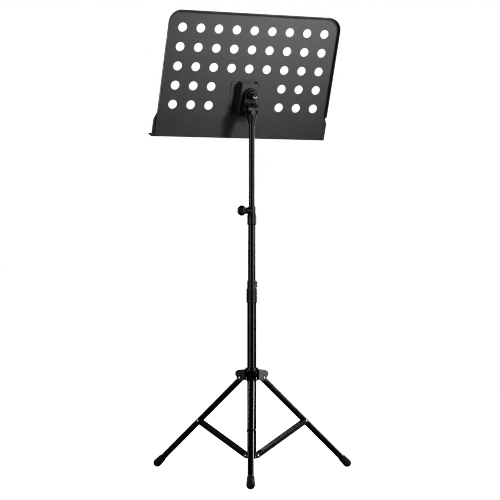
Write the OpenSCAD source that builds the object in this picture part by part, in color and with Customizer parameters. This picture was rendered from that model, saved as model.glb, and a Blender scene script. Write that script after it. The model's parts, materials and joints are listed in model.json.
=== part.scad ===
// Folding music stand: a perforated steel desk on a two-stage telescopic column with a folding tripod base.
// Millimetres, +Z up. The origin is on the column's axis at floor level. The reader stands on the -Y side.

/* [Tripod] */
// Angle between a leg and the column when the tripod is open
leg_angle = 47.8; // [40:0.1:54]
// Compass direction of the first leg, counted from +X
first_leg_azimuth = 65.5; // [0:0.5:120]
// Distance from the hub pivot to the centre of the foot
leg_len = 367.5; // [300:0.5:450]
// Distance from the hub pivot to the strut pivot on the leg
leg_pivot_span = 183; // [150:0.5:225]
// Outer diameter of a leg tube
leg_d = 16; // [13:0.5:20]
// Wall of a leg tube
leg_wall = 1.2; // [0.8:0.1:2]
// Radius of the leg pivots on the hub
hub_pivot_r = 32; // [30:0.5:40]
// Radius of the strut pivots on the base bracket
base_pivot_r = 15; // [14:0.5:20]
// Height of the strut pivots on the base bracket
base_pivot_z = 47.5; // [40:0.5:60]
// Diameter of a rubber foot
foot_d = 22; // [19:0.5:28]
// Length of a rubber foot
foot_len = 37; // [30:1:50]
// Depth of the flat patch that each foot stands on
foot_flat = 0.8; // [0.4:0.1:1.5]

/* [Struts] */
// Depth of a strut's channel
strut_depth = 11; // [9:0.5:13]
// Sheet thickness of a strut
strut_t = 1.3; // [1:0.1:2]
// Web left out at the strut's lower end, for the bracket
web_cut_low = 20; // [18:1:30]
// Web left out at the strut's upper end, for the leg
web_cut_high = 17; // [16:1:30]

/* [Rivets] */
// Shank diameter of the rivets in the tripod
rivet_d = 5; // [4:0.5:6]
// Head diameter of the rivets in the tripod
rivet_head_d = 9; // [8:0.5:11]
// Height of a rivet's head
rivet_head_h = 1.8; // [1:0.1:2.5]

/* [Hub] */
// Wall of the hub's ring
hub_wall = 1.7; // [1.5:0.1:4]
// Height of the hub's ring above the leg pivots
hub_rise = 28; // [24:1:34]
// Depth of the hub below the leg pivots
hub_drop = 5; // [4:0.5:8]
// Sheet thickness of the hub's ears
ear_t = 1.6; // [1.2:0.1:2.5]
// Side play between a leg's top and the hub's ears
ear_play = 3.2; // [3:0.1:5]
// Play between the hub's ring and the column
hub_play = 3.6; // [3.4:0.1:4.2]

/* [Column] */
// Outer diameter of the lower tube
lower_d = 24; // [22:0.5:28]
// Outer diameter of the middle tube
mid_d = 20; // [18:0.5:21.5]
// Outer diameter of the upper tube
upper_d = 16; // [12:0.5:17.5]
// Wall of the three column tubes
tube_wall = 1; // [0.8:0.1:1.2]
// Height of the lower tube's bottom end
lower_z = 62; // [58:1:72]
// Height of the lower tube's top end
lower_top = 500; // [470:1:560]
// Length of the middle tube
mid_len = 430; // [380:1:440]
// How far the middle tube is drawn out, top end above the lower tube's
mid_out = 199; // [160:1:240]
// Length of the upper tube
upper_len = 480; // [400:1:490]
// How far the upper tube is drawn out, top end above the middle tube's
upper_out = 265; // [200:1:300]

/* [Clutches] */
// Wall of the lower clutch's body
lower_clutch_wall = 2.2; // [1.6:0.1:4.5]
// Wall of the upper clutch's body
upper_clutch_wall = 2.3; // [1.6:0.1:4.5]
// Length of the lower clutch's body, over the lower tube
lower_clutch_len = 40; // [30:1:50]
// Length of the upper clutch's body, over the middle tube
upper_clutch_len = 29; // [26:1:45]
// Height of the clutches' necks
neck_h = 20; // [18:0.5:24]
// Height of the taper between a clutch's body and its neck
shoulder_h = 8; // [4:0.5:10]
// Wall of the clutches' necks
neck_wall = 2.3; // [2:0.1:3.5]
// Compass direction of the lower thumb knob
lower_knob_azimuth = 242; // [0:1:359]
// Compass direction of the upper thumb knob
upper_knob_azimuth = 14; // [0:1:359]
// Diameter over the lobes of a thumb knob
knob_d = 27; // [22:0.5:32]
// Thickness of a thumb knob
knob_t = 13; // [9:0.5:18]
// Diameter of the clutches' screws
screw_d = 5; // [4:0.5:6]
// Diameter of the clutches' screw bosses
boss_d = 17; // [14:0.5:18]
// Reach of a screw boss from its neck
boss_reach = 13; // [8:0.5:14]

/* [Guide bushes] */
// Length of a guide bush
bush_len = 22; // [16:1:30]

/* [Head] */
// Height of the head's cone
cone_h = 25; // [22:0.5:32]
// Wall of the cone at its lower end
cone_wall = 0.8; // [0.8:0.1:2]
// Diameter of the cone at its upper end
cone_top_d = 29.6; // [26:0.2:34]
// Height of the tilt axis above the cone
knuckle_rise = 15; // [14:0.5:20]
// Radius of the tilt knuckle
knuckle_r = 12.5; // [11:0.5:13.5]
// Width of the whole knuckle
knuckle_w = 31; // [28:1:36]
// Width of the head's tongue in the knuckle
tongue_w = 12; // [10:0.5:14]
// Diameter of the tilt bolt and of the clamp bolt
bolt_d = 6; // [5:0.5:7]
// Diameter of the tilt bolt's washers
washer_d = 14; // [12:0.5:18]
// Thickness of a washer
washer_t = 1.2; // [0.8:0.1:2]

/* [Desk bracket] */
// Width over the bracket's flanges
bracket_w = 92; // [86:1:110]
// Width of the bracket's channel
channel_w = 51; // [46:1:60]
// Depth of the bracket's channel
channel_d = 25; // [22:0.5:28]
// Height of the bracket
bracket_h = 93.5; // [86:0.5:110]
// Sheet thickness of the bracket
bracket_t = 1.5; // [1.2:0.1:2.5]
// Height of the bracket's lower edge over the tilt axis
bracket_low = -29.5; // [-34:0.5:-24]
// Height of the clamp bolt over the tilt axis
clamp_rise = 35.5; // [30:0.5:42]
// Width of the tilt arm
arm_w = 34; // [32:1:40]
// Thickness of the tilt arm's plate
arm_t = 11; // [9:0.5:12]
// Diameter over the lobes of the clamp knob
clamp_knob_d = 27; // [22:0.5:32]
// Thickness of the clamp knob's wheel
clamp_knob_t = 9; // [7:0.5:12]
// Diameter of the clamp knob's barrel
barrel_d = 16; // [13:0.5:18]
// Length of the clamp knob's barrel
barrel_len = 15; // [10:0.5:20]

/* [Desk] */
// Lean of the desk from upright
desk_tilt = 20; // [0:1:60]
// Width of the desk
desk_w = 500; // [440:1:560]
// Height of the desk
desk_h = 347.4; // [330:0.1:400]
// Sheet thickness of the desk and its shelf
sheet_t = 1.2; // [0.8:0.1:2]
// Depth of the rim turned back along the top and sides
rim_d = 11; // [6:0.5:18]
// How far above the shelf's upright part the side rims end
rim_stop = 1; // [0:1:20]
// Radius of the desk's upper corners
corner_r = 35; // [10:1:60]
// Distance from the tilt axis to the back of the desk
desk_offset = 52.2; // [50:0.1:56]
// Height of the desk's lower edge over the tilt axis
desk_low = -97.5; // [-120:0.5:-80]
// Diameter of a hole in the desk
hole_d = 25; // [16:0.5:32]
// Spacing of the holes across the desk
hole_pitch_x = 52; // [46:0.5:54]
// Spacing of the holes up the desk
hole_pitch_y = 52.7; // [46:0.1:54]
// Height of the middle row of holes over the desk's lower edge
hole_mid = 195; // [185:1:200]

/* [Shelf] */
// How far the shelf stands out past the desk on each side
shelf_over = 7; // [1:0.5:12]
// Depth of the shelf in the middle
shelf_d = 48; // [30:1:70]
// Depth of the shelf at its two ends
shelf_end_d = 26; // [14:1:30]
// Height of the shelf's upright part
shelf_up = 64; // [30:1:70]
// Size of the slanted corners of the shelf's upright part
shelf_corner = 17; // [4:1:25]
// Height of the lip along the shelf's front edge
lip_h = 8; // [4:0.5:14]
// Length of the taper at each end of the shelf
taper_len = 60; // [40:1:120]

/* [Hidden] */
$fn = 48;
leg_names = ["a", "b", "c"];

steel_color = "silver";
paint_color = "#26272a";
plastic_color = "#1b1b1d";
rubber_color = "#141414";

// Gap of a fit that turns or slides, on the radius
run_gap = 0.06;
// Gap between two pieces that are fixed to each other, on the radius
fixed_gap = 0.02;
// Overshoot of a cut past the face that it opens
cut = 1;

foot_r = foot_d / 2;
foot_z = foot_r - foot_flat;
hub_pivot_z = foot_z + leg_len * cos(leg_angle);
knee_r = hub_pivot_r + leg_pivot_span * sin(leg_angle);
knee_z = hub_pivot_z - leg_pivot_span * cos(leg_angle);
strut_len = norm([knee_r - base_pivot_r, knee_z - base_pivot_z]);
strut_angle = atan2(knee_r - base_pivot_r, knee_z - base_pivot_z);
strut_in = leg_d / 2 + 0.5;
strut_out = strut_in + strut_t;
leg_spread = 120;

lower_in = lower_d / 2 - tube_wall;
mid_in = mid_d / 2 - tube_wall;
mid_top = lower_top + mid_out;
upper_top = mid_top + upper_out;
cone_low = upper_top - cone_h + 2;
cone_top = cone_low + cone_h;
tilt_z = cone_top + knuckle_rise;

ear_in = leg_d / 2 + ear_play;
ear_out = ear_in + ear_t;
channel_y = -desk_offset + channel_d;
arm_y = channel_y + arm_t;
knob_y = arm_y + 0.4;
cap_y = knob_y + clamp_knob_t + barrel_len;

module at_leg(i) rotate([0, 0, first_leg_azimuth + leg_spread * i]) children();

// Z runs down the leg from its hub pivot, Y along the pivot
module on_leg(i) at_leg(i) translate([hub_pivot_r, 0, hub_pivot_z]) rotate([0, 180 - leg_angle, 0]) children();

// Z runs up the strut from its base pivot, X to the channel's open side
module on_strut(i) at_leg(i) translate([base_pivot_r, 0, base_pivot_z]) rotate([0, strut_angle, 0]) children();

// X across the desk, Y to its back, Z up its slope, from the tilt axis
module on_desk() translate([0, 0, tilt_z]) rotate([-desk_tilt, 0, 0]) children();

module tube(r, wall, h) {
    difference() {
        cylinder(r = r, h = h);
        translate([0, 0, -cut]) cylinder(r = r - wall, h = h + 2 * cut);
    }
}

// Cylinder along Y, centred on the origin
module cross_pin(r, len) rotate([90, 0, 0]) cylinder(r = r, h = len, center = true);

// Rivet along Y whose two heads close on faces at -half and half
module cross_rivet(half) {
    cross_pin(rivet_d / 2, 2 * half + 0.2);
    for (side = [-1, 1])
        translate([0, side * (half + rivet_head_h / 2), 0]) rivet_head(side);
}

// Low domed head on the Y axis, its flat face at -side * half its height
module rivet_head(side) {
    translate([0, -side * rivet_head_h / 2, 0]) rotate([-90 * side, 0, 0]) {
        cylinder(r = rivet_head_d / 2, h = rivet_head_h * 0.4);
        translate([0, 0, rivet_head_h * 0.4])
            cylinder(r1 = rivet_head_d / 2, r2 = rivet_head_d / 3.2, h = rivet_head_h * 0.6);
    }
}

// Knob wheel with round lobes, from z = 0 up
module lobed_wheel(d, t, lobes) {
    notch_r = d / 7;
    linear_extrude(t) difference() {
        circle(r = d / 2);
        for (i = [0 : lobes - 1])
            rotate([0, 0, (i + 0.5) * 360 / lobes]) translate([d / 2 + notch_r * 0.45, 0]) circle(r = notch_r);
    }
}

// ---- tripod

module base_bracket() {
    lug_w = 2 * (strut_in - 0.4);
    lug_r = 6;
    low = base_pivot_z - 6.5;
    neck_low = lower_z - 5;
    color(plastic_color) difference() {
        union() {
            cylinder_from(low, neck_low, 8.5);
            cylinder_from(neck_low, lower_z, lower_d / 2);
            cylinder_from(lower_z, lower_z + 25, lower_in - fixed_gap);
            for (i = [0 : 2]) at_leg(i) {
                translate([0, -lug_w / 2, low]) cube([base_pivot_r, lug_w, neck_low - low]);
                translate([base_pivot_r, 0, base_pivot_z]) cross_pin(lug_r, lug_w);
            }
        }
        for (i = [0 : 2]) at_leg(i)
            translate([base_pivot_r, 0, base_pivot_z]) cross_pin(rivet_d / 2 + fixed_gap, lug_w + 2 * cut);
    }
}

module cylinder_from(z0, z1, r) translate([0, 0, z0]) cylinder(r = r, h = z1 - z0);

module base_rivets() color(steel_color)
    for (i = [0 : 2]) on_strut(i) cross_rivet(strut_out + 0.1);

module strut(i) color(paint_color) on_strut(i) difference() {
    union() {
        for (side = [-1, 1])
            translate([0, side * (strut_in + strut_t / 2), 0]) rotate([90, 0, 0])
                linear_extrude(strut_t, center = true) strut_side();
        translate([-strut_depth / 2, -strut_in - strut_t / 2, web_cut_low])
            cube([strut_t, 2 * strut_in + strut_t, strut_len - web_cut_low - web_cut_high]);
    }
    for (z = [0, strut_len])
        translate([0, 0, z]) cross_pin(rivet_d / 2 + run_gap, 2 * strut_out + 2 * cut);
}

module strut_side() {
    translate([-strut_depth / 2, 0]) square([strut_depth, strut_len]);
    for (z = [0, strut_len]) translate([0, z]) circle(r = strut_depth / 2);
}

module leg_tube(i) color(paint_color) on_leg(i) difference() {
    translate([0, 0, 11]) tube(leg_d / 2, leg_wall, leg_len - 22);
    translate([0, 0, leg_pivot_span]) cross_pin(rivet_d / 2 + fixed_gap, leg_d + 2 * cut);
}

module leg_plug(i) color(plastic_color) on_leg(i) difference() {
    union() {
        cross_pin(leg_d / 2, leg_d);
        cylinder(r = leg_d / 2, h = 11);
        translate([0, 0, 10]) cylinder(r = leg_d / 2 - leg_wall - fixed_gap, h = 24);
    }
    cross_pin(rivet_d / 2 + run_gap, leg_d + 2 * cut);
}

module leg_foot(i) {
    sleeve_d = leg_d + 2.4;
    color(rubber_color) difference() {
        on_leg(i) difference() {
            translate([0, 0, leg_len]) rotate([180, 0, 0]) rotate_extrude() foot_profile(sleeve_d / 2);
            translate([0, 0, leg_len - foot_len]) tube_end_space();
        }
        at_leg(i) translate([0, -foot_d, -foot_d]) cube([2 * leg_len, 2 * foot_d, foot_d]);
    }
}

// Half section of a foot, upwards from the centre of its round end
module foot_profile(sleeve_r) {
    body = foot_len - foot_r;
    difference() {
        circle(r = foot_r);
        translate([-2 * foot_r, -2 * foot_r]) square([2 * foot_r, 4 * foot_r]);
    }
    polygon([[0, 0], [foot_r, 0], [foot_r, body * 0.25], [sleeve_r + 0.8, body * 0.8], [sleeve_r, body], [0, body]]);
}

// What the leg tube fills inside its foot
module tube_end_space() cylinder(r = leg_d / 2 + fixed_gap, h = foot_len - 11);

module leg_rivet(i) color(steel_color)
    on_leg(i) translate([0, 0, leg_pivot_span]) cross_rivet(strut_out + 0.1);

module ear_outline() {
    polygon([
        [lower_d / 2 + hub_play, -hub_drop], [hub_pivot_r - 6, -hub_drop - 1.5], [hub_pivot_r, -hub_drop - 1.5],
        [hub_pivot_r + 6.5, 0], [hub_pivot_r + 11.5, 8], [hub_pivot_r + 12.5, 14], [hub_pivot_r + 9, 19],
        [hub_pivot_r + 3, 21.5], [hub_pivot_r - 5, hub_rise - 5.5], [lower_d / 2 + hub_play, hub_rise - 5.5]
    ]);
    translate([hub_pivot_r, 0]) circle(r = 6.5);
}

module leg_hub() {
    roof_low = 10;
    color(paint_color) translate([0, 0, hub_pivot_z]) difference() {
        union() {
            translate([0, 0, -hub_drop]) cylinder(r = lower_d / 2 + hub_play + hub_wall, h = hub_rise + hub_drop);
            for (i = [0 : 2]) at_leg(i) {
                for (side = [-1, 1])
                    translate([0, side * (ear_in + ear_t / 2), 0]) rotate([90, 0, 0])
                        linear_extrude(ear_t, center = true) ear_outline();
                rotate([90, 0, 0]) linear_extrude(2 * ear_out - ear_t, center = true) intersection() {
                    difference() {
                        ear_outline();
                        translate([-ear_t, -ear_t]) ear_outline();
                    }
                    translate([0, roof_low]) square([4 * hub_pivot_r, 4 * hub_pivot_r]);
                }
            }
        }
        translate([0, 0, -2 * hub_rise]) cylinder(r = lower_d / 2 + hub_play, h = 4 * hub_rise);
        for (i = [0 : 2]) at_leg(i)
            translate([hub_pivot_r, 0, 0]) cross_pin(rivet_d / 2 + fixed_gap, 2 * ear_out + 2 * cut);
    }
}

module hub_pin_a() color(steel_color) on_leg(0) cross_rivet(ear_out);

// The pins of the other two legs are opened in the middle, where the closed linkage is cut
module hub_rivets_bc() color(steel_color)
    for (i = [1, 2]) on_leg(i) difference() {
        cross_rivet(ear_out);
        cross_pin(rivet_d, 2 * ear_in);
    }

// ---- column

module lower_tube() color(paint_color)
    translate([0, 0, lower_z]) tube(lower_d / 2, tube_wall, lower_top - lower_z);

// Clutch body over the outer tube's end, with a neck that guides the inner tube
module clutch(azimuth, top, wall, body_len, outer_d, inner_d) {
    body_r = outer_d / 2 + fixed_gap + wall;
    neck_r = inner_d / 2 + neck_wall;
    chamfer = 1.5;
    color(plastic_color) difference() {
        union() {
            translate([0, 0, top - body_len]) cylinder(r1 = body_r - chamfer, r2 = body_r, h = chamfer);
            translate([0, 0, top - body_len + chamfer])
                cylinder(r = body_r, h = body_len - chamfer - shoulder_h / 2);
            translate([0, 0, top - shoulder_h / 2]) cylinder(r1 = body_r, r2 = neck_r, h = shoulder_h);
            translate([0, 0, top]) cylinder(r = neck_r, h = neck_h);
            clutch_screw_axis(azimuth, top) cylinder(r = boss_d / 2, h = neck_r + boss_reach);
        }
        translate([0, 0, top - body_len - cut]) cylinder(r = outer_d / 2 + fixed_gap, h = body_len + cut);
        translate([0, 0, top - cut]) cylinder(r = inner_d / 2 + run_gap, h = neck_h + 2 * cut);
        clutch_screw_axis(azimuth, top) cylinder(r = insert_r() + fixed_gap, h = 6 * body_r);
    }
}

function insert_r() = screw_d / 2 + 1.6;

// Z runs out of the column along the clutch's screw
module clutch_screw_axis(azimuth, top)
    translate([0, 0, top + neck_h / 2 - 1]) rotate([0, 0, azimuth]) rotate([0, 90, 0]) children();

module screw_insert(azimuth, top, inner_d) {
    out = inner_d / 2 + neck_wall + boss_reach;
    color("goldenrod") clutch_screw_axis(azimuth, top) translate([0, 0, inner_d / 2 + 2.2]) difference() {
        cylinder(r = insert_r(), h = out - inner_d / 2 - 2.2);
        translate([0, 0, -cut]) cylinder(r = screw_d / 2 + run_gap, h = out);
    }
}

// Nylon pad that the screw presses against the inner tube
module clamp_pad(azimuth, top, inner_d) color("gainsboro") difference() {
    clutch_screw_axis(azimuth, top) cylinder(r = insert_r(), h = inner_d / 2 + 1.9);
    translate([0, 0, top - neck_h]) cylinder(r = inner_d / 2 + run_gap, h = 3 * neck_h);
}

module thumb_knob(azimuth, top, inner_d) color(plastic_color)
    clutch_screw_axis(azimuth, top) translate([0, 0, inner_d / 2 + neck_wall + boss_reach + 1.5]) difference() {
        union() {
            cylinder(r = boss_d / 2 - 1, h = 4);
            translate([0, 0, 3]) lobed_wheel(knob_d, knob_t, 6);
            translate([0, 0, 3 + knob_t]) cylinder(r1 = knob_d / 4, r2 = knob_d / 5, h = 1.5);
        }
        translate([0, 0, -cut]) cylinder(r = screw_d / 2 + fixed_gap, h = knob_t + cut);
    }

module thumb_screw(azimuth, top, inner_d) color(steel_color)
    clutch_screw_axis(azimuth, top) translate([0, 0, inner_d / 2 + 2])
        cylinder(r = screw_d / 2, h = neck_wall + boss_reach + knob_t - 0.6);

// Sleeve on the foot end of an inner tube, which guides it in the outer one
module guide_bush(low, inner_r, outer_r) color(plastic_color)
    translate([0, 0, low]) tube(outer_r - run_gap, outer_r - run_gap - inner_r, bush_len);

module mid_bush() guide_bush(mid_top - mid_len + 1, mid_d / 2 + run_gap, lower_in);

module mid_tube() color(paint_color)
    translate([0, 0, mid_top - mid_len]) tube(mid_d / 2, tube_wall, mid_len);

module upper_bush() guide_bush(upper_top - upper_len + 1, upper_d / 2 + run_gap, mid_in);

module upper_tube() color(paint_color)
    translate([0, 0, upper_top - upper_len]) tube(upper_d / 2, tube_wall, upper_len);

// ---- head

module head_socket() color(plastic_color) difference() {
    union() {
        translate([0, 0, cone_low]) cylinder(r1 = upper_d / 2 + cone_wall, r2 = cone_top_d / 2, h = cone_h);
        translate([-tongue_w / 2, -knuckle_r + 1, cone_top - cut])
            cube([tongue_w, 2 * knuckle_r - 2, knuckle_rise + cut]);
        translate([0, 0, tilt_z]) rotate([0, 90, 0]) cylinder(r = knuckle_r - 1, h = tongue_w, center = true);
    }
    translate([0, 0, cone_low - cut]) cylinder(r = upper_d / 2 + fixed_gap, h = upper_top - cone_low + cut);
    translate([0, 0, tilt_z]) rotate([0, 90, 0]) cylinder(r = bolt_d / 2 + run_gap, h = 2 * tongue_w, center = true);
    set_screw_axis() cylinder(r = 1.5 + fixed_gap, h = cone_top_d);
}

module set_screw_axis() translate([0, 0, cone_low + cone_h / 2]) rotate([90, 0, 0]) children();

// Small screw on the reader's side that holds the head on the upper tube
module head_set_screw() color(steel_color)
    set_screw_axis() translate([0, 0, upper_d / 2 + 0.05]) cylinder(r = 1.5, h = 3);

module tilt_axis() on_desk() rotate([0, 90, 0]) children();

module tilt_arm() {
    half = knuckle_w / 2;
    cheek_in = tongue_w / 2 + 0.15;
    low = -knuckle_r;
    web_y = -knuckle_r - 1.7;
    color(plastic_color) on_desk() difference() {
        union() {
            for (side = [0, 1]) mirror([side, 0, 0]) {
                translate([cheek_in, 0, 0]) rotate([0, 90, 0]) cylinder(r = knuckle_r, h = half - cheek_in);
                translate([cheek_in, channel_y, low]) cube([half - cheek_in, -channel_y, 2 * knuckle_r]);
            }
            translate([-arm_w / 2, channel_y, low]) cube([arm_w, arm_t, clamp_rise - low]);
            translate([0, arm_y, clamp_rise]) rotate([90, 0, 0]) cylinder(r = arm_w / 2, h = arm_t);
        }
        translate([-cheek_in, web_y, low - cut]) cube([2 * cheek_in, -2 * web_y, 2 * knuckle_r + 2 * cut]);
        rotate([0, 90, 0]) cylinder(r = bolt_d / 2 + fixed_gap, h = 2 * knuckle_w, center = true);
        translate([0, arm_y + cut, clamp_rise]) rotate([90, 0, 0])
            cylinder(r = bolt_d / 2 + run_gap, h = arm_t + 2 * cut);
    }
}

module tilt_bolt() {
    shank = knuckle_w / 2 + washer_t;
    color(steel_color) tilt_axis() {
        translate([0, 0, -shank]) cylinder(r = bolt_d / 2, h = 2 * shank + 6);
        translate([0, 0, -shank - 2.2]) cylinder(r = bolt_d * 0.85, h = 2.2);
        translate([0, 0, -shank - 3.4]) cylinder(r1 = bolt_d * 0.5, r2 = bolt_d * 0.85, h = 1.2);
    }
}

module tilt_nut() color(steel_color) tilt_axis()
    translate([0, 0, knuckle_w / 2 + washer_t]) difference() {
        cylinder(r = bolt_d * 0.92, h = bolt_d * 0.8, $fn = 6);
        translate([0, 0, -cut]) cylinder(r = bolt_d / 2 + fixed_gap, h = bolt_d + 2 * cut);
    }

module tilt_washers() color(steel_color) tilt_axis()
    for (side = [0, 1]) mirror([0, 0, side]) translate([0, 0, knuckle_w / 2]) difference() {
        cylinder(r = washer_d / 2, h = washer_t);
        translate([0, 0, -cut]) cylinder(r = bolt_d / 2 + fixed_gap, h = washer_t + 2 * cut);
    }

// Z runs out of the bracket's channel along the clamp bolt
module clamp_axis(y) on_desk() translate([0, y, clamp_rise]) rotate([-90, 0, 0]) children();

module clamp_knob() color(plastic_color) clamp_axis(knob_y) difference() {
    union() {
        lobed_wheel(clamp_knob_d, clamp_knob_t, 7);
        cylinder(r = barrel_d / 2, h = clamp_knob_t + barrel_len);
    }
    translate([0, 0, -cut]) cylinder(r = bolt_d / 2 + fixed_gap, h = clamp_knob_t + barrel_len + 2 * cut);
}

module clamp_bolt() {
    inside = 9;
    color(steel_color) clamp_axis(channel_y - inside) {
        cylinder(r = bolt_d / 2, h = cap_y - channel_y + inside + 3);
        translate([0, 0, -2]) cylinder(r = bolt_d * 0.9, h = 2);
    }
}

module clamp_cap() color(steel_color) clamp_axis(cap_y) difference() {
    union() {
        cylinder(r = bolt_d * 0.9, h = 3);
        translate([0, 0, 3]) cylinder(r1 = bolt_d * 0.9, r2 = bolt_d * 0.55, h = 2.2);
    }
    translate([0, 0, -cut]) cylinder(r = bolt_d / 2 + fixed_gap, h = 3 + cut + fixed_gap);
}

// ---- desk

rivet_x = (bracket_w + channel_w) / 4 + 1.5;
rivet_rows = [bracket_low + 8.5, bracket_low + bracket_h - 8.5];
small_rivet_r = 2;

module at_bracket_rivets() for (x = [-rivet_x, rivet_x]) for (z = rivet_rows)
    translate([x, -desk_offset, z]) rotate([-90, 0, 0]) children();

module desk_bracket() {
    high = bracket_low + bracket_h;
    color(paint_color) on_desk() difference() {
        translate([0, -desk_offset, bracket_low]) linear_extrude(high - bracket_low) bracket_section();
        translate([0, channel_y + cut, clamp_rise]) rotate([90, 0, 0])
            cylinder(r = bolt_d / 2 + run_gap, h = bracket_t + 2 * cut);
        at_bracket_rivets() translate([0, 0, -cut]) cylinder(r = small_rivet_r + fixed_gap, h = 4 * cut);
    }
}

// Hat section of the bracket, on the desk's back
module bracket_section() {
    for (side = [0, 1]) mirror([side, 0]) {
        translate([channel_w / 2 - bracket_t, 0]) square([(bracket_w - channel_w) / 2 + bracket_t, bracket_t]);
        translate([channel_w / 2 - bracket_t, 0]) square([bracket_t, channel_d]);
    }
    translate([-channel_w / 2, channel_d - bracket_t]) square([channel_w, bracket_t]);
}

module bracket_rivets() color(steel_color) on_desk() at_bracket_rivets() {
    translate([0, 0, -sheet_t]) cylinder(r = small_rivet_r, h = sheet_t + bracket_t);
    translate([0, 0, bracket_t]) cylinder(r1 = 2 * small_rivet_r, r2 = 1.3 * small_rivet_r, h = 1.6);
    translate([0, 0, -sheet_t - 0.8]) cylinder(r1 = 1.6 * small_rivet_r, r2 = 2 * small_rivet_r, h = 0.8);
}

// Outline of the desk, drawn in by inset at its top and sides
module panel_outline(inset) {
    half = desk_w / 2 - inset;
    high = desk_h - inset;
    r = corner_r - inset;
    translate([-half, 0]) square([2 * half, high - r]);
    translate([-half + r, 0]) square([2 * (half - r), high]);
    for (x = [-half + r, half - r]) translate([x, high - r]) circle(r = r);
}

// The grid leaves its lower middle solid, behind the bracket
module desk_holes() for (col = [-4 : 4]) for (row = [-2 : 2])
    if (row >= 0 || abs(col) >= 2)
        translate([col * hole_pitch_x, hole_mid + row * hole_pitch_y]) circle(r = hole_d / 2);

module desk_panel() color(paint_color) on_desk() difference() {
    translate([0, -desk_offset, desk_low]) rotate([90, 0, 0]) {
        linear_extrude(sheet_t) difference() {
            panel_outline(0);
            desk_holes();
        }
        translate([0, 0, -rim_d + sheet_t]) linear_extrude(rim_d) difference() {
            panel_outline(0);
            panel_outline(sheet_t);
            translate([-desk_w, -desk_h]) square([2 * desk_w, desk_h + shelf_up + rim_stop]);
        }
    }
    at_bracket_rivets() translate([0, 0, -2 * sheet_t]) cylinder(r = small_rivet_r + fixed_gap, h = 4 * sheet_t);
}

// Folded sheet: upright against the desk's front, floor, and lip along the front edge
module desk_shelf() {
    half = desk_w / 2 + shelf_over;
    front_half = half - taper_len;
    color(paint_color) on_desk() translate([0, -desk_offset - sheet_t, desk_low]) {
        rotate([90, 0, 0]) linear_extrude(sheet_t) polygon([
            [-half, -sheet_t], [half, -sheet_t], [half, shelf_up - shelf_corner], [half - shelf_over, shelf_up],
            [-half + shelf_over, shelf_up], [-half, shelf_up - shelf_corner]
        ]);
        translate([0, 0, -sheet_t]) linear_extrude(sheet_t) polygon([
            [-half, 0], [-half, -shelf_end_d], [-front_half, -shelf_d],
            [front_half, -shelf_d], [half, -shelf_end_d], [half, 0]
        ]);
        translate([-front_half, -shelf_d, -sheet_t]) cube([2 * front_half, sheet_t, lip_h + sheet_t]);
    }
}

lower_tube();
base_bracket();
base_rivets();
clutch(lower_knob_azimuth, lower_top, lower_clutch_wall, lower_clutch_len, lower_d, mid_d);  // lower_clutch
screw_insert(lower_knob_azimuth, lower_top, mid_d);  // lower_screw_insert
clamp_pad(lower_knob_azimuth, lower_top, mid_d);  // lower_clamp_pad
leg_hub();
hub_pin_a();
hub_rivets_bc();
for (i = [0 : 2]) {
    strut(i);
    leg_tube(i);
    leg_plug(i);
    leg_foot(i);
    leg_rivet(i);
}
thumb_knob(lower_knob_azimuth, lower_top, mid_d);  // lower_knob
thumb_screw(lower_knob_azimuth, lower_top, mid_d);  // lower_knob_screw
mid_bush();
mid_tube();
clutch(upper_knob_azimuth, mid_top, upper_clutch_wall, upper_clutch_len, mid_d, upper_d);  // upper_clutch
screw_insert(upper_knob_azimuth, mid_top, upper_d);  // upper_screw_insert
clamp_pad(upper_knob_azimuth, mid_top, upper_d);  // upper_clamp_pad
thumb_knob(upper_knob_azimuth, mid_top, upper_d);  // upper_knob
thumb_screw(upper_knob_azimuth, mid_top, upper_d);  // upper_knob_screw
upper_bush();
upper_tube();
head_socket();
head_set_screw();
tilt_arm();
tilt_bolt();
tilt_nut();
tilt_washers();
desk_bracket();
bracket_rivets();
desk_panel();
desk_shelf();
clamp_knob();
clamp_bolt();
clamp_cap();
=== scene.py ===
import json
import math

import bmesh
import bpy
from mathutils import Matrix, Vector
from mathutils.geometry import tessellate_polygon


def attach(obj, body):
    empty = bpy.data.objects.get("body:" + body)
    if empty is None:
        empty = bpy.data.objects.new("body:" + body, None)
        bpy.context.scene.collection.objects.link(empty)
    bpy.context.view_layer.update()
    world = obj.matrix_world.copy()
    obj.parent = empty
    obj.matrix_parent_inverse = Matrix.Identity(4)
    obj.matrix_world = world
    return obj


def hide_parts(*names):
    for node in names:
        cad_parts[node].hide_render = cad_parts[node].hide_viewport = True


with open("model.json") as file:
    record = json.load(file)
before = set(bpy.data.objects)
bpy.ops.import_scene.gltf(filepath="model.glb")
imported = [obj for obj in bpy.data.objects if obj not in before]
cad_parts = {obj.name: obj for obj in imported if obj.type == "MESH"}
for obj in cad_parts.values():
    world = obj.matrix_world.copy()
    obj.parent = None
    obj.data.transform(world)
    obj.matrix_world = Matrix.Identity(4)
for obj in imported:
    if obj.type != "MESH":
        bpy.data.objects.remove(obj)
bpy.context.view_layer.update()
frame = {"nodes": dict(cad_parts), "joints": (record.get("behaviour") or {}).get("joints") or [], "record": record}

# Lengths below are in millimetres, and mm turns them into scene metres.
mm = 0.001
joints = {joint["name"]: joint for joint in frame["joints"]}
scene = bpy.context.scene
legNames = ["a", "b", "c"]


def frameFrom(origin, zAxis, yAxis):
    # Axes at a point, with z as given and y as near as it can be to yAxis
    z = Vector(zAxis).normalized()
    x = Vector(yAxis).cross(z).normalized()
    y = z.cross(x)
    turn = Matrix((x, y, z)).transposed().to_4x4()
    return Matrix.Translation(Vector(origin)) @ turn


def jointPoint(name):
    return Vector(joints[name]["pos_m"])


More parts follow.
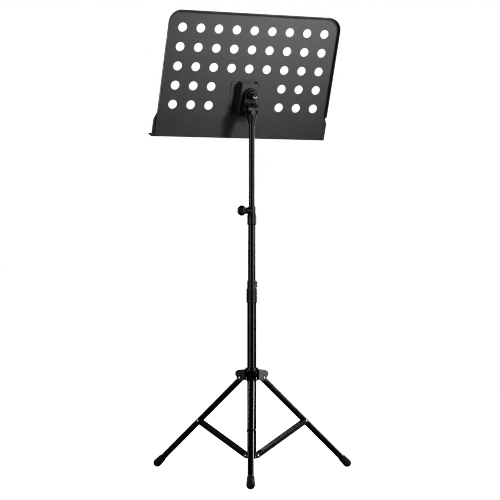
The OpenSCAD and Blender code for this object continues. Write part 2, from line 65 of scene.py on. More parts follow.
deskLean = math.radians(20)  # from upright, as the stand is set up
deskBack = Vector((0, math.cos(deskLean), -math.sin(deskLean)))
deskUp = Vector((0, math.sin(deskLean), math.cos(deskLean)))
deskFrame = frameFrom(jointPoint("desk_tilt"), deskUp, deskBack)


def legFrame(i):
    # z runs down the leg from its hub pivot, y along the pivot
    turn = Matrix.Rotation(2 * math.pi / len(legNames) * i, 3, "Z")
    hub = turn @ jointPoint("hub_fold")
    axis = turn @ Vector(joints["hub_fold"]["axis"])
    knee = jointPoint("leg_" + legNames[i] + "_fold")
    return frameFrom(hub, knee - hub, -axis)


def strutFrame(i):
    # z runs up the strut from the base bracket, y along its pivots
    base = jointPoint("strut_" + legNames[i] + "_fold")
    knee = jointPoint("leg_" + legNames[i] + "_fold")
    return frameFrom(base, knee - base, legFrame(i).to_3x3() @ Vector((0, 1, 0)))


def screwFrame(jointName):
    # z runs out along a thumb screw, from the column's axis
    joint = joints[jointName]
    return frameFrom((0, 0, joint["pos_m"][2]), joint["axis"], (0, 0, 1))


def localBox(nodeName, place):
    # Lowest and highest corners of a CAD node in a frame of its own, in millimetres
    back = place.inverted()
    spots = [back @ vertex.co / mm for vertex in frame["nodes"][nodeName].data.vertices]
    low = Vector([min(spot[axis] for spot in spots) for axis in range(3)])
    high = Vector([max(spot[axis] for spot in spots) for axis in range(3)])
    return low, high


# Mesh helpers
meshSettings = {"weld": 0.0005, "shortest": 0.0002, "sharpAngle": 32}


def smoothPiece(name, mesh):
    # Puts a mesh in the scene, shaded smooth up to the sharp angle
    mesh.polygons.foreach_set("use_smooth", [True] * len(mesh.polygons))
    mesh.set_sharp_from_angle(angle=math.radians(meshSettings["sharpAngle"]))
    piece = bpy.data.objects.new(name, mesh)
    scene.collection.objects.link(piece)
    return piece


def evenShading(piece):
    even = piece.modifiers.new("even", "WEIGHTED_NORMAL")
    even.keep_sharp = True


def finishMesh(name, bm, where):
    # Welds, orients and places a mesh drawn in millimetres
    bmesh.ops.remove_doubles(bm, verts=bm.verts, dist=meshSettings["weld"])
    bmesh.ops.dissolve_degenerate(bm, edges=bm.edges, dist=meshSettings["shortest"])
    bmesh.ops.recalc_face_normals(bm, faces=bm.faces)
    mesh = bpy.data.meshes.new(name)
    bm.to_mesh(mesh)
    bm.free()
    mesh.transform(where @ Matrix.Scale(mm, 4))
    piece = smoothPiece(name, mesh)
    evenShading(piece)
    return piece


def joinPieces(name, parts):
    # One object out of several, drawn where they stand
    bm = bmesh.new()
    for part in parts:
        bm.from_mesh(part.data)
        bpy.data.objects.remove(part)
    mesh = bpy.data.meshes.new(name)
    bm.to_mesh(mesh)
    bm.free()
    return smoothPiece(name, mesh)


def bridgeRings(bm, near, far):
    # Faces between two closed rings, either of which may be one point
    for k in range(max(len(near), len(far))):
        corners = [near[k % len(near)], near[(k + 1) % len(near)], far[(k + 1) % len(far)], far[k % len(far)]]
        bm.faces.new(list(dict.fromkeys(corners)))


def skinRings(bm, rings):
    # Skins a row of closed rings that have the same number of points, and closes both ends
    made = [[bm.verts.new(point) for point in ring] for ring in rings]
    for near, far in zip(made, made[1:]):
        bridgeRings(bm, near, far)
    for ring in (made[0], made[-1]):
        bmesh.ops.triangulate(bm, faces=[bm.faces.new(ring)])


def turned(name, outline, where, around, closed=False, radiusAt=None):
    # Revolves (radius, height) points about z; radiusAt can wave the radius round the piece
    bm = bmesh.new()
    rings = []
    for radius, height in outline:
        if radius == 0:
            rings.append([bm.verts.new((0, 0, height))])
            continue
        ring = []
        for k in range(around):
            angle = 2 * math.pi * k / around
            reach = radiusAt(radius, angle) if radiusAt else radius
            ring.append(bm.verts.new((reach * math.cos(angle), reach * math.sin(angle), height)))
        rings.append(ring)
    if closed:
        rings.append(rings[0])
    for near, far in zip(rings, rings[1:]):
        bridgeRings(bm, near, far)
    return finishMesh(name, bm, where)


def sweepAngles(degrees, steps):
    # Evenly spaced angles from zero, in radians
    return [math.radians(degrees) * k / steps for k in range(steps + 1)]


def arc(centreX, centreY, radius, start, end, steps):
    return [(centreX + radius * math.cos(math.radians(start) + angle),
             centreY + radius * math.sin(math.radians(start) + angle))
            for angle in sweepAngles(end - start, steps)]


def roundedCorners(points, radius, steps):
    # Replaces each inner corner of an open line with a short curve, held to its share of the sides beside it
    sideShare = 0.48
    result = [tuple(points[0])]
    for before, corner, after in zip(points, points[1:], points[2:]):
        middle = Vector(corner)
        back, ahead = Vector(before) - middle, Vector(after) - middle
        reach = radius / math.tan(back.angle(ahead) / 2)
        reach = min(reach, back.length * sideShare, ahead.length * sideShare)
        start, end = middle + back.normalized() * reach, middle + ahead.normalized() * reach
        for step in range(steps + 1):
            share = step / steps
            spot = start * (1 - share) ** 2 + middle * 2 * share * (1 - share) + end * share ** 2
            result.append((spot.x, spot.y))
    return result + [tuple(points[-1])]


# Finishes: the middle part of a noise's range, which carries its tints and its roughness
noiseBand = (0.3, 0.7)


def newFinish(name, color, roughness, metallic=0.0, specular=0.5):
    material = bpy.data.materials.new(name)
    material.use_nodes = True
    shader = material.node_tree.nodes["Principled BSDF"]
    shader.inputs["Base Color"].default_value = (*color, 1)
    shader.inputs["Roughness"].default_value = roughness
    shader.inputs["Metallic"].default_value = metallic
    shader.inputs["Specular IOR Level"].default_value = specular
    return material, material.node_tree, shader


def grainNoise(tree, scale, detail, stretch=(1, 1, 1)):
    place = tree.nodes.new("ShaderNodeTexCoord")
    spread = tree.nodes.new("ShaderNodeMapping")
    spread.inputs["Scale"].default_value = stretch
    noise = tree.nodes.new("ShaderNodeTexNoise")
    noise.inputs["Scale"].default_value = scale
    noise.inputs["Detail"].default_value = detail
    tree.links.new(place.outputs["Object"], spread.inputs["Vector"])
    tree.links.new(spread.outputs["Vector"], noise.inputs["Vector"])
    return noise.outputs["Fac"]


def varyRoughness(tree, shader, noise, low, high):
    ramp = tree.nodes.new("ShaderNodeMapRange")
    ramp.inputs["From Min"].default_value, ramp.inputs["From Max"].default_value = noiseBand
    ramp.inputs["To Min"].default_value = low
    ramp.inputs["To Max"].default_value = high
    tree.links.new(noise, ramp.inputs["Value"])
    tree.links.new(ramp.outputs["Result"], shader.inputs["Roughness"])


def varyTint(tree, shader, noise, low, high):
    ramp = tree.nodes.new("ShaderNodeValToRGB")
    for stop, position, color in zip(ramp.color_ramp.elements, noiseBand, (low, high)):
        stop.position = position
        stop.color = (*color, 1)
    tree.links.new(noise, ramp.inputs["Fac"])
    tree.links.new(ramp.outputs["Color"], shader.inputs["Base Color"])


def addBump(tree, shader, noise, depth, strength):
    bump = tree.nodes.new("ShaderNodeBump")
    bump.inputs["Strength"].default_value = strength
    bump.inputs["Distance"].default_value = depth
    tree.links.new(noise, bump.inputs["Height"])
    tree.links.new(bump.outputs["Normal"], shader.inputs["Normal"])


def darkCoat(name, color, roughness, clouds, tints, roughnesses, grain, bumpDepth, bumpStrength, specular=0.5):
    # A dark surface with slow clouds in its tint and gloss, and a fine bump; clouds and grain are scale and detail
    material, tree, shader = newFinish(name, color, roughness, specular=specular)
    cloudy = grainNoise(tree, *clouds)
    varyTint(tree, shader, cloudy, *tints)
    varyRoughness(tree, shader, cloudy, *roughnesses)
    addBump(tree, shader, grainNoise(tree, *grain), bumpDepth, bumpStrength)
    return material


def glossPaint():
    # Black gloss powder coat with a soft orange-peel ripple
    return darkCoat("glossBlackCoat", color=(0.005, 0.005, 0.0053), roughness=0.2, clouds=(60, 2),
                    tints=((0.004, 0.004, 0.0042), (0.006, 0.006, 0.0063)), roughnesses=(0.16, 0.24),
                    grain=(900, 1), bumpDepth=0.00003, bumpStrength=0.25)


def deskPaint():
    # Satin black coat with a fine even texture
    return darkCoat("satinDeskCoat", color=(0.058, 0.058, 0.060), roughness=0.5, clouds=(25, 3),
                    tints=((0.054, 0.054, 0.056), (0.063, 0.063, 0.065)), roughnesses=(0.44, 0.54),
                    grain=(900, 3), bumpDepth=0.00025, bumpStrength=0.6)


def mouldedPlastic():
    return darkCoat("mouldedBlackNylon", color=(0.006, 0.006, 0.0063), roughness=0.38, clouds=(140, 3),
                    tints=((0.005, 0.005, 0.0053), (0.008, 0.008, 0.0083)), roughnesses=(0.32, 0.46),
                    grain=(3200, 2), bumpDepth=0.00005, bumpStrength=0.35)


def footRubber():
    return darkCoat("footRubber", color=(0.011, 0.011, 0.011), roughness=0.66, clouds=(90, 4),
                    tints=((0.008, 0.008, 0.008), (0.020, 0.020, 0.019)), roughnesses=(0.56, 0.76),
                    grain=(1800, 3), bumpDepth=0.00008, bumpStrength=0.4, specular=0.35)


metalScuffs = {"scale": 400, "detail": 4, "stretch": (1, 1, 3), "darkest": 0.88, "depth": 0.00002, "strength": 0.2}


def brightMetal(name, color, roughLow, roughHigh):
    material, tree, shader = newFinish(name, color, roughLow, metallic=1.0)
    scuffs = grainNoise(tree, metalScuffs["scale"], metalScuffs["detail"], metalScuffs["stretch"])
    varyTint(tree, shader, scuffs, tuple(part * metalScuffs["darkest"] for part in color), color)
    varyRoughness(tree, shader, scuffs, roughLow, roughHigh)
    addBump(tree, shader, scuffs, metalScuffs["depth"], metalScuffs["strength"])
    return material


def nylonPad():
    material, tree, shader = newFinish("naturalNylon", color=(0.80, 0.79, 0.75), roughness=0.45)
    varyRoughness(tree, shader, grainNoise(tree, scale=300, detail=2), low=0.38, high=0.52)
    return material


finishes = {
    "gloss_paint": glossPaint(),
    "desk_paint": deskPaint(),
    "black_plastic": mouldedPlastic(),
    "rubber": footRubber(),
    "bright_steel": brightMetal("nickelPlate", (0.78, 0.77, 0.75), 0.18, 0.32),
    "black_steel": brightMetal("blackZincPlate", (0.06, 0.06, 0.062), 0.3, 0.42),
    "brass": brightMetal("turnedBrass", (0.72, 0.53, 0.26), 0.2, 0.35),
    "nylon": nylonPad(),
}
print("finishes ready:", len(finishes))


def dress(piece, slotName, body, *stoodFor):
    # Gives a piece its finish, its body and the CAD nodes that it stands for
    piece.data.materials.clear()
    piece.data.materials.append(finishes[slotName])
    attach(piece, body)
    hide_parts(*stoodFor)
    return piece


def softenEdges(piece, width, segments, angle):
    soften = piece.modifiers.new("soften", "BEVEL")
    soften.width = width * mm
    soften.segments = segments
    soften.limit_method = "ANGLE"
    soften.angle_limit = math.radians(angle)


# The CAD nodes that stay get a finish and softened edges, this wide
softEdge = {
    "default": 0.35,
    "tilt_arm": 1.6,
    "head_socket": 0.9,
    "base_bracket": 0.8,
    "leg_hub": 0.5,
    "leg_plug_a": 0.9, "leg_plug_b": 0.9, "leg_plug_c": 0.9,
    "lower_clutch": 0.8, "upper_clutch": 0.8,
    "strut_a": 0.45, "strut_b": 0.45, "strut_c": 0.45,
}
nodeEdges = {"weld": 0.01, "segments": 3, "angle": 34}
slotOf = {subpart["node"]: subpart["material_slot"] for subpart in frame["record"]["subparts"]}
for nodeName, node in frame["nodes"].items():
    node.data.materials.clear()
    node.data.materials.append(finishes[slotOf[nodeName]])
    node.data.polygons.foreach_set("use_smooth", [True] * len(node.data.polygons))
    if node.data.has_custom_normals:
        bpy.context.view_layer.objects.active = node
        node.data.normals_split_custom_set([(0, 0, 0)] * len(node.data.loops))
    weld = node.modifiers.new("weld", "WELD")
    weld.merge_threshold = nodeEdges["weld"] * mm
    softenEdges(node, softEdge.get(nodeName, softEdge["default"]), nodeEdges["segments"], nodeEdges["angle"])
    evenShading(node)
print("CAD nodes dressed:", len(frame["nodes"]))


# The desk's folded sheet; sill is how far the sheet's edge turns back beside the shelf
panelSheet = {"thickness": 1.2, "bend": 2.2, "bendSteps": 5, "corner": 35, "cornerSteps": 16,
              "rimStop": 1, "rimRound": 8, "rimSteps": 6, "sill": 2.8}
panelHoles = {"radius": 12.5, "across": 52, "up": 52.7, "middle": 195, "columns": 4, "rows": 2,
              "solidColumns": 1, "edge": 0.3, "edgeSteps": 3, "around": 40}


def rimTurns():
    # Where the rim rounds off above the shelf: height over its end, as a share of its rounding, and depth share
    return [(1 - math.cos(angle), math.sin(angle)) for angle in sweepAngles(90, panelSheet["rimSteps"])]


def rimStart():
    return localBox("desk_shelf", deskFrame)[1].z + panelSheet["rimStop"]


def panelOutline(low, high, inset):
    # Up the left side, over the top and down the right side, drawn in by inset
    radius = panelSheet["corner"] - inset
    left, right, top = low.x + inset, high.x - inset, high.z - inset
    steps = panelSheet["cornerSteps"]
    heights = [low.z] + [rimStart() + panelSheet["rimRound"] * up for up, _ in rimTurns()]
    return ([(left, z) for z in heights] + arc(left + radius, top - radius, radius, 180, 90, steps)
            + arc(right - radius, top - radius, radius, 90, 0, steps) + [(right, z) for z in reversed(heights)])


def rimDepths(low, high):
    # The rim's depth at each point of the outline: a low sill beside the shelf, full depth above it
    sill, full = panelSheet["sill"], high.y - low.y
    climb = [sill] + [sill + (full - sill) * share for _, share in rimTurns()]
    corners = 2 * (panelSheet["cornerSteps"] + 1)
    return climb + [full] * corners + climb[::-1]


def panelProfile(rimDepth):
    # Across the rim: how far in from the outline, and how far back from the front
    thickness, bend = panelSheet["thickness"], panelSheet["bend"]
    turns = sweepAngles(90, panelSheet["bendSteps"])
    outer = [(bend - bend * math.sin(angle), bend - bend * math.cos(angle)) for angle in turns]
    inner = [(bend - (bend - thickness) * math.sin(angle), bend - (bend - thickness) * math.cos(angle))
             for angle in reversed(turns)]
    half = thickness / 2
    end = [(half - half * math.cos(angle), rimDepth - half + half * math.sin(angle))
           for angle in sweepAngles(180, panelSheet["rimSteps"])]
    return outer + end + inner


def holeCentres(bottom):
    # The grid leaves its lower middle solid, behind the bracket
    columns, rows = panelHoles["columns"], panelHoles["rows"]
    return [(column * panelHoles["across"], bottom + panelHoles["middle"] + row * panelHoles["up"])
            for column in range(-columns, columns + 1) for row in range(-rows, rows + 1)
            if row >= 0 or abs(column) > panelHoles["solidColumns"]]


def holeRing(centre, grow):
    return arc(*centre, panelHoles["radius"] + grow, 0, 360, panelHoles["around"])[:-1]


def foldRim(bm, low, high, at):
    # The bend and the rim round three sides, closed at both ends and along the lower edge
    profiles = [panelProfile(depth) for depth in rimDepths(low, high)]
    rows = []
    for step, (inset, _) in enumerate(profiles[0]):
        outline = panelOutline(low, high, inset)
        rows.append([bm.verts.new(at(x, profile[step][1], z)) for (x, z), profile in zip(outline, profiles)])
    for near, far in zip(rows, rows[1:]):
        for k in range(len(near) - 1):
            bm.faces.new((near[k], near[k + 1], far[k + 1], far[k]))
    for k in (0, -1):
        bm.faces.new([row[k] for row in rows])
    bm.faces.new((rows[0][0], rows[-1][0], rows[-1][-1], rows[0][-1]))


def punchHole(bm, centre, at):
    # The hole's wall, with its edges eased on both faces
    edge = panelHoles["edge"]
    wall = [(edge - edge * math.sin(angle), edge - edge * math.cos(angle))
            for angle in sweepAngles(90, panelHoles["edgeSteps"])]
    wall += [(grow, panelSheet["thickness"] - depth) for grow, depth in reversed(wall)]
    rings = [[bm.verts.new(at(x, depth, z)) for x, z in holeRing(centre, grow)] for grow, depth in wall]
    for near, far in zip(rings, rings[1:]):
        bridgeRings(bm, near, far)


def flatWithHoles(bm, loops, depth, at):
    # Fills the first loop less the others
    verts = [bm.verts.new(at(x, depth, z)) for loop in loops for x, z in loop]
    for corners in tessellate_polygon([[Vector((x, z, 0)) for x, z in loop] for loop in loops]):
        bm.faces.new([verts[k] for k in corners])


def deskPanel():
    low, high = localBox("desk_panel", deskFrame)
    centres = holeCentres(low.z)

    def at(x, depth, z):
        return (x, low.y + depth, z)

    bm = bmesh.new()
    foldRim(bm, low, high, at)
    for centre in centres:
        punchHole(bm, centre, at)
    loops = [panelOutline(low, high, panelSheet["bend"])]
    loops += [holeRing(centre, panelHoles["edge"]) for centre in centres]
    for depth in (0, panelSheet["thickness"]):
        flatWithHoles(bm, loops, depth, at)
    return dress(finishMesh("deskPanelSheet", bm, deskFrame), "desk_paint", "desk", "desk_panel")


deskPanel()
print("desk panel folded and punched")


# The shelf's lip stops where its ends taper, and the top corners of its upright part are cut off
shelfSheet = {"thickness": 1.2, "backBend": 2.4, "backSteps": 6, "lip": 8, "lipBend": 2.0, "lipSteps": 5,
              "edgeSteps": 6, "chamferAcross": 7, "chamferUp": 17, "taper": 60, "endDepth": 26}


def shelfSection(front, back, floor, top, hasLip):
    # Closed outline of the folded sheet in depth and height, always with the same number of points
    thickness, half = shelfSheet["thickness"], shelfSheet["thickness"] / 2
    bend, bendSteps = shelfSheet["backBend"], shelfSheet["backSteps"]
    lipBend, lipSteps, edgeSteps = shelfSheet["lipBend"], shelfSheet["lipSteps"], shelfSheet["edgeSteps"]
    points = [(back, top - half)]
    points += arc(back - bend, floor + bend, bend, 0, -90, bendSteps)
    if hasLip:
        high = floor + shelfSheet["lip"] + thickness
        points += arc(front + lipBend, floor + lipBend, lipBend, 270, 180, lipSteps)
        points += arc(front + half, high - half, half, 180, 0, edgeSteps)
        points += arc(front + lipBend, floor + lipBend, lipBend - thickness, 180, 270, lipSteps)
    else:
        points += arc(front + half, floor + half, half, 270, 90, 2 * lipSteps + edgeSteps + 2)
    points += arc(back - bend, floor + bend, bend - thickness, -90, 0, bendSteps)
    points += arc(back - half, top - half, half, 180, 0, edgeSteps)[:-1]
    return points


def deskShelf():
    low, high = localBox("desk_shelf", deskFrame)
    endFront = high.y - shelfSheet["endDepth"]
    taper, cut = shelfSheet["taper"], shelfSheet["chamferUp"]
    nearEnd = high.x - shelfSheet["chamferAcross"]
    taperEnd = high.x - taper

    def frontAt(x):
        share = min(1, (high.x - abs(x)) / taper)
        return endFront + (low.y - endFront) * share

    # Each station: place along the shelf, whether it has the lip, and how much is cut off the upright part
    stations = [(-high.x, False, cut), (-nearEnd, False, 0), (-taperEnd, False, 0), (-taperEnd, True, 0),
                (taperEnd, True, 0), (taperEnd, False, 0), (nearEnd, False, 0), (high.x, False, cut)]
    rings = []
    for x, hasLip, lower in stations:
        section = shelfSection(frontAt(x), high.y, low.z, high.z - lower, hasLip)
        rings.append([(x, y, z) for y, z in section])
    bm = bmesh.new()
    skinRings(bm, rings)
    return dress(finishMesh("deskShelfSheet", bm, deskFrame), "desk_paint", "desk", "desk_shelf")


deskShelf()
print("shelf folded")


# The hat-section bracket on the desk's back
bracketSheet = {"thickness": 1.5, "bend": 3.0, "bendSteps": 5, "channel": 51, "corner": 7, "cornerSteps": 6,
                "softEdge": 0.3, "softSegments": 1, "softAngle": 50}


def bracketSection(low, high, pull):
    # Closed outline across the bracket, with its flanges drawn in by pull
    half = bracketSheet["thickness"] / 2
    reach, side = high.x - pull, bracketSheet["channel"] / 2 - half
    base, crown = low.y + half, high.y - half
    middle = [(-reach, base), (-side, base), (-side, crown), (side, crown), (side, base), (reach, base)]
    middle = [Vector(point) for point in roundedCorners(middle, bracketSheet["bend"], bracketSheet["bendSteps"])]
    last = len(middle) - 1
    front, rear = [], []
    for k, point in enumerate(middle):
        along = (middle[min(k + 1, last)] - middle[max(k - 1, 0)]).normalized()
        across = Vector((-along.y, along.x)) * half
        front.append(point + across)
        rear.append(point - across)
    return front + rear[::-1]


def deskBracket():
    low, high = localBox("desk_bracket", deskFrame)
    corner = bracketSheet["corner"]
    levels = [(corner * (1 - math.cos(angle)), corner * (1 - math.sin(angle)))
              for angle in sweepAngles(90, bracketSheet["cornerSteps"])]
    stations = [(low.z + up, pull) for up, pull in levels]
    stations += [(high.z - up, pull) for up, pull in reversed(levels)]
    bm = bmesh.new()
    skinRings(bm, [[(point.x, point.y, z) for point in bracketSection(low, high, pull)] for z, pull in stations])
    piece = finishMesh("deskBracketSheet", bm, deskFrame)
    softenEdges(piece, bracketSheet["softEdge"], bracketSheet["softSegments"], bracketSheet["softAngle"])
    return dress(piece, "desk_paint", "desk", "desk_bracket")


deskBracket()
print("bracket folded")


# Knobs: how many lobes and how deep the notches between them are, then their radii and heights
notchPower = 1.6
thumbKnob = {"lobes": 6, "notch": 1.9, "bore": 2.6, "collar": 7.5, "dish": 8.4, "crown": 1.5, "around": 96}
wheelKnob = {"lobes": 7, "notch": 2.0, "bore": 3, "barrel": 8, "thickness": 9, "around": 98,
             "grooves": 3, "firstGroove": 13.6, "grooveStep": 2.6}


def lobed(count, depth, inside, outside):
    # Waves the radius between inside and outside, with broad lobes and narrow notches
    def radiusAt(radius, angle):
        share = min(1, max(0, (radius - inside) / (outside - inside)))
        return radius - depth * share * (0.5 + 0.5 * math.cos(count * angle)) ** notchPower
    return radiusAt


def lifted(place, height):
    return place @ Matrix.Translation((0, 0, height * mm))


def thumbKnobPiece(name, node, body, place):
    low, high = localBox(node, place)
    collar, dish = thumbKnob["collar"], thumbKnob["dish"]
    rim, top = max(high.x, high.y), high.z - low.z
    wheel = top - thumbKnob["crown"]
    foot = [(thumbKnob["bore"], 0), (collar - 0.5, 0), (collar, 0.5), (collar, 2.2), (dish, 2.9)]
    edge = [(rim - 2.6, 3.1), (rim - 1.1, 3.6), (rim - 0.2, 4.8), (rim, 6.4), (rim, wheel - 3.6),
            (rim - 0.3, wheel - 2), (rim - 1.2, wheel - 0.8), (rim - 2.8, wheel - 0.1), (rim - 4, wheel)]
    hollow = [(dish, wheel - 0.3), (dish - 1, wheel - 0.9), (dish - 1.5, wheel - 0.7), (dish - 2, wheel + 0.4)]
    crown = [(5.2, top - 0.3), (3, top - 0.05), (0, top)]
    piece = turned(name, foot + edge + hollow + crown, lifted(place, low.z), thumbKnob["around"],
                   radiusAt=lobed(thumbKnob["lobes"], thumbKnob["notch"], 9, rim - 1))
    return dress(piece, "black_plastic", body, node)


def wheelKnobPiece():
    place = frameFrom(jointPoint("clamp_knob_turn"), joints["clamp_knob_turn"]["axis"], deskUp)
    low, high = localBox("clamp_knob", place)
    bore, barrel, thick = wheelKnob["bore"], wheelKnob["barrel"], wheelKnob["thickness"]
    rim, top = max(high.x, high.y), high.z - low.z
    outline = [(bore, 0), (rim - 2.2, 0), (rim - 0.8, 0.5), (rim, 1.7), (rim, thick - 2.1), (rim - 0.5, thick - 1),
               (rim - 1.6, thick - 0.2), (rim - 3, thick), (barrel + 1.2, thick + 0.1), (barrel + 0.3, thick + 0.6),
               (barrel, thick + 1.6)]
    for groove in range(wheelKnob["grooves"]):
        middle = wheelKnob["firstGroove"] + wheelKnob["grooveStep"] * groove
        outline += [(barrel, middle - 0.7), (barrel - 0.5, middle - 0.25),
                    (barrel - 0.5, middle + 0.25), (barrel, middle + 0.7)]
    outline += [(barrel, top - 1.3), (barrel - 0.4, top - 0.4), (barrel - 1.3, top), (bore, top)]
    piece = turned("clampWheel", outline, lifted(place, low.z), wheelKnob["around"], closed=True,
                   radiusAt=lobed(wheelKnob["lobes"], wheelKnob["notch"], barrel + 1, rim - 1))
    return dress(piece, "black_plastic", "desk_clamp", "clamp_knob")


thumbKnobPiece("lowerThumbKnob", "lower_knob", "lower_thumb_screw", screwFrame("lower_knob_turn"))
thumbKnobPiece("upperThumbKnob", "upper_knob", "upper_thumb_screw", screwFrame("upper_knob_turn"))
wheelKnobPiece()
print("knobs moulded")


# A rubber foot is a ball that runs up into a sleeve with grooves
foot = {"radius": 11, "bore": 8.02, "tubeEnd": 11, "ballSteps": 12, "around": 48,
        "grooves": 2, "firstGroove": 19, "grooveStep": 2.6}


def rubberFoot(i):
    node = "leg_foot_" + legNames[i]
    place = legFrame(i)
    low, high = localBox(node, place)
    radius = foot["radius"]
    length = high.z - low.z - radius
    place = lifted(place, high.z - radius) @ Matrix.Rotation(math.pi, 4, "X")
    outline = [(0, -radius)] + [(radius * math.sin(angle), -radius * math.cos(angle))
                                for angle in sweepAngles(90, foot["ballSteps"])[1:]]
    outline += [(radius, 3), (radius - 0.1, 7), (radius - 0.45, 11), (radius - 0.8, 15), (radius - 1, 17.5)]
    for groove in range(foot["grooves"]):
        middle = foot["firstGroove"] + foot["grooveStep"] * groove
        outline += [(radius - 1.05, middle - 0.7), (radius - 1.5, middle - 0.3),
                    (radius - 1.5, middle + 0.3), (radius - 1.1, middle + 0.7)]
    outline += [(radius - 1.6, length - 1.6), (radius - 1.9, length - 0.6), (radius - 2.5, length),
                (foot["bore"], length), (foot["bore"], foot["tubeEnd"]), (0, foot["tubeEnd"])]
    piece = turned("rubberFoot_" + legNames[i], outline, place, foot["around"])
    # The floor is as low as a foot goes
    for vertex in piece.data.vertices:
        vertex.co.z = max(vertex.co.z, 0)
    return dress(piece, "rubber", "leg_" + legNames[i], node)


for i in range(len(legNames)):
    rubberFoot(i)
print("feet moulded")


# Rivets with a domed head on each side; sidePlay is the gap where a hub rivet is open in the middle
rivet = {"shank": 2.5, "headRadius": 4.5, "headHeight": 1.8, "headEdge": 0.35, "headRound": 0.15,
         "domeSteps": 8, "around": 32, "sidePlay": 3.2}


def rivetOutline(half):
    # Half section of a rivet from its middle up to the crown of one head
    radius, height, edge = rivet["headRadius"], rivet["headHeight"], rivet["headEdge"]
    dome = [(radius * math.cos(angle), half + edge + (height - edge) * math.sin(angle))
            for angle in sweepAngles(90, rivet["domeSteps"])[:-1]]
    return [(rivet["shank"], half), (radius - rivet["headRound"], half)] + dome + [(0, half + height)]


def twoHeadedRivet(name, place, inner, outer):
    # Along the place's y axis, from face to face; inner leaves its middle open
    outline = [(0, inner), (rivet["shank"], inner)] + rivetOutline(outer)
    return joinPieces(name, [turned(name, outline, place @ Matrix.Rotation(angle, 4, "X"), rivet["around"])
                             for angle in (math.pi / 2, -math.pi / 2)])


def rivetHalf(node, place):
    # From the rivet's middle to the underside of its head
    return localBox(node, place)[1].y - rivet["headHeight"]


def setRivets():
    baseRivets = []
    for i, letter in enumerate(legNames):
        legAxes = legFrame(i).to_3x3()
        place = frameFrom(jointPoint("leg_" + letter + "_fold"), legAxes @ Vector((0, 0, 1)),
                          legAxes @ Vector((0, 1, 0)))
        half = rivetHalf("leg_rivet_" + letter, place)
        dress(twoHeadedRivet("kneeRivet_" + letter, place, 0, half), "bright_steel", "leg_" + letter,
              "leg_rivet_" + letter)
        baseRivets.append(twoHeadedRivet("baseRivet_" + letter, strutFrame(i), 0, half))
    dress(joinPieces("baseRivets", baseRivets), "bright_steel", "column", "base_rivets")
    half = rivetHalf("hub_pin_a", legFrame(0))
    dress(twoHeadedRivet("hubPin_a", legFrame(0), 0, half), "bright_steel", "hub", "hub_pin_a")
    openEnd = localBox("leg_plug_a", legFrame(0))[1].y + rivet["sidePlay"]
    halves = [twoHeadedRivet("hubRivet_" + legNames[i], legFrame(i), openEnd, half) for i in (1, 2)]
    dress(joinPieces("hubRivets_bc", halves), "bright_steel", "hub", "hub_rivets_bc")


setRivets()
print("rivets set")


cameraSettings = {"distance": 4.846, "bearing": 23.98, "height": 0.6258, "turn": 23.925, "dip": 0.28,
                  "lens": 129.6, "sensor": 36, "farthest": 100}

# Each light: how far it is to the view's right, towards the camera and up, its size and power,
# the point it is aimed at in the same way, how far it spreads, and what it lights
lightSettings = {
    "keyLamp": {"at": (1.50, 1.18, 1.66), "size": (0.24, 0.24), "power": 2.9, "aim": (0.10, 0, 1.36),
                "spread": 30, "glossy": False, "diffuse": True},
    "rightSoftbox": {"at": (1.73, 1.35, 0.85), "size": (0.95, 2.4), "power": 27, "aim": (0, 0, 0.75),
                     "spread": 180, "glossy": True, "diffuse": False},
    "leftSoftbox": {"at": (-1.62, 1.50, 0.80), "size": (0.85, 2.4), "power": 12, "aim": (0, 0, 0.70),
                    "spread": 180, "glossy": True, "diffuse": False},
    "readerSoftboxRight": {"at": (1.85, -1.6, 1.3), "size": (0.8, 1.6), "power": 34, "aim": (0, 0, 0.8),
                           "spread": 180, "glossy": True, "diffuse": True},
    "readerSoftboxLeft": {"at": (-1.3, -2.0, 1.4), "size": (0.9, 1.6), "power": 22, "aim": (0, 0, 0.8),
                          "spread": 180, "glossy": True, "diffuse": True},
}
surroundings = {"seen": 1.0, "reflected": 0.006, "fill": 0.07}
floorSettings = {"size": 30, "grey": 0.5, "roughness": 0.9, "glow": 0.97, "bounce": 0.12}


def viewAxes():
    # The view's right, and level towards the camera
    turn = math.radians(cameraSettings["turn"])
    return Vector((-math.cos(turn), math.sin(turn), 0)), Vector((math.sin(turn), math.cos(turn), 0))


def addCamera():
    data = bpy.data.cameras.new("camera")
    data.lens = cameraSettings["lens"]
    data.sensor_width = cameraSettings["sensor"]
    data.clip_end = cameraSettings["farthest"]
    camera = bpy.data.objects.new("camera", data)
    scene.collection.objects.link(camera)
    distance, bearing = cameraSettings["distance"], math.radians(cameraSettings["bearing"])
    dip = math.radians(cameraSettings["dip"])
    camera.location = (distance * math.sin(bearing), distance * math.cos(bearing), cameraSettings["height"])
    ahead = -viewAxes()[1] * math.cos(dip) - Vector((0, 0, math.sin(dip)))
    camera.rotation_euler = ahead.to_track_quat("-Z", "Y").to_euler()
    scene.camera = camera


def addLights():
    right, near = viewAxes()
    for name, light in lightSettings.items():
        data = bpy.data.lights.new(name, "AREA")
        data.shape = "RECTANGLE"
        data.size, data.size_y = light["size"]
        data.energy = light["power"]
        data.spread = math.radians(light["spread"])
        lamp = bpy.data.objects.new(name, data)
        scene.collection.objects.link(lamp)
        place, aim = (right * side + near * toward + Vector((0, 0, up))
                      for side, toward, up in (light["at"], light["aim"]))
        lamp.location = place
        lamp.rotation_euler = (aim - place).to_track_quat("-Z", "Y").to_euler()
        lamp.visible_glossy = light["glossy"]
        lamp.visible_diffuse = light["diffuse"]


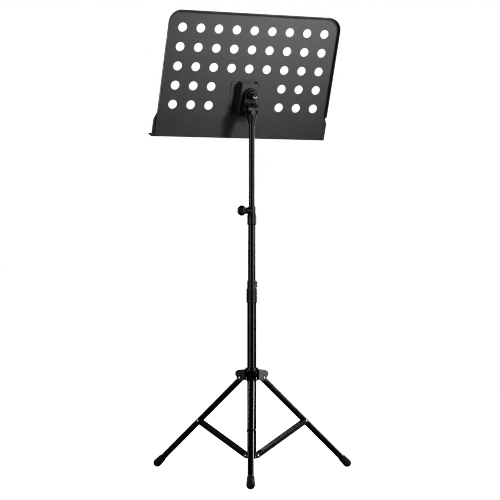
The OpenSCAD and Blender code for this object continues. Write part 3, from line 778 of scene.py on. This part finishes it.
def rayMix(tree, ray, forRay, forOthers):
    # One shader for the named kind of ray and another for the rest
    path = tree.nodes.new("ShaderNodeLightPath")
    mix = tree.nodes.new("ShaderNodeMixShader")
    tree.links.new(path.outputs[ray], mix.inputs["Fac"])
    tree.links.new(forOthers, mix.inputs[1])
    tree.links.new(forRay, mix.inputs[2])
    return mix.outputs["Shader"]


def addFloor():
    # Glows white to the camera, and bounces little light back at the stand
    bm = bmesh.new()
    bmesh.ops.create_grid(bm, x_segments=2, y_segments=2, size=floorSettings["size"])
    mesh = bpy.data.meshes.new("floor")
    bm.to_mesh(mesh)
    bm.free()
    floor = bpy.data.objects.new("floor", mesh)
    scene.collection.objects.link(floor)
    material, tree, shader = newFinish("paleFloor", [floorSettings["grey"]] * 3, floorSettings["roughness"],
                                       specular=0.0)
    glow = tree.nodes.new("ShaderNodeEmission")
    glow.inputs["Strength"].default_value = floorSettings["glow"]
    seen = tree.nodes.new("ShaderNodeAddShader")
    tree.links.new(glow.outputs[0], seen.inputs[0])
    tree.links.new(shader.outputs[0], seen.inputs[1])
    dark = tree.nodes.new("ShaderNodeBsdfDiffuse")
    dark.inputs["Color"].default_value = (*[floorSettings["bounce"]] * 3, 1)
    tree.links.new(rayMix(tree, "Is Camera Ray", seen.outputs[0], dark.outputs[0]),
                   tree.nodes["Material Output"].inputs["Surface"])
    mesh.materials.append(material)


def addWorld():
    world = bpy.data.worlds.new("studio")
    world.use_nodes = True
    scene.world = world
    tree = world.node_tree
    shades = {}
    for name, strength in surroundings.items():
        shade = tree.nodes.new("ShaderNodeBackground")
        shade.inputs["Color"].default_value = (1, 1, 1, 1)
        shade.inputs["Strength"].default_value = strength
        shades[name] = shade.outputs[0]
    unseen = rayMix(tree, "Is Glossy Ray", shades["reflected"], shades["fill"])
    tree.links.new(rayMix(tree, "Is Camera Ray", shades["seen"], unseen),
                   tree.nodes["World Output"].inputs["Surface"])


scene.view_settings.view_transform = "Standard"
scene.cycles.filter_width = 1.0  # crisp edges on the thin tubes
addCamera()
addWorld()
addFloor()
addLights()
print("camera, light and floor ready")
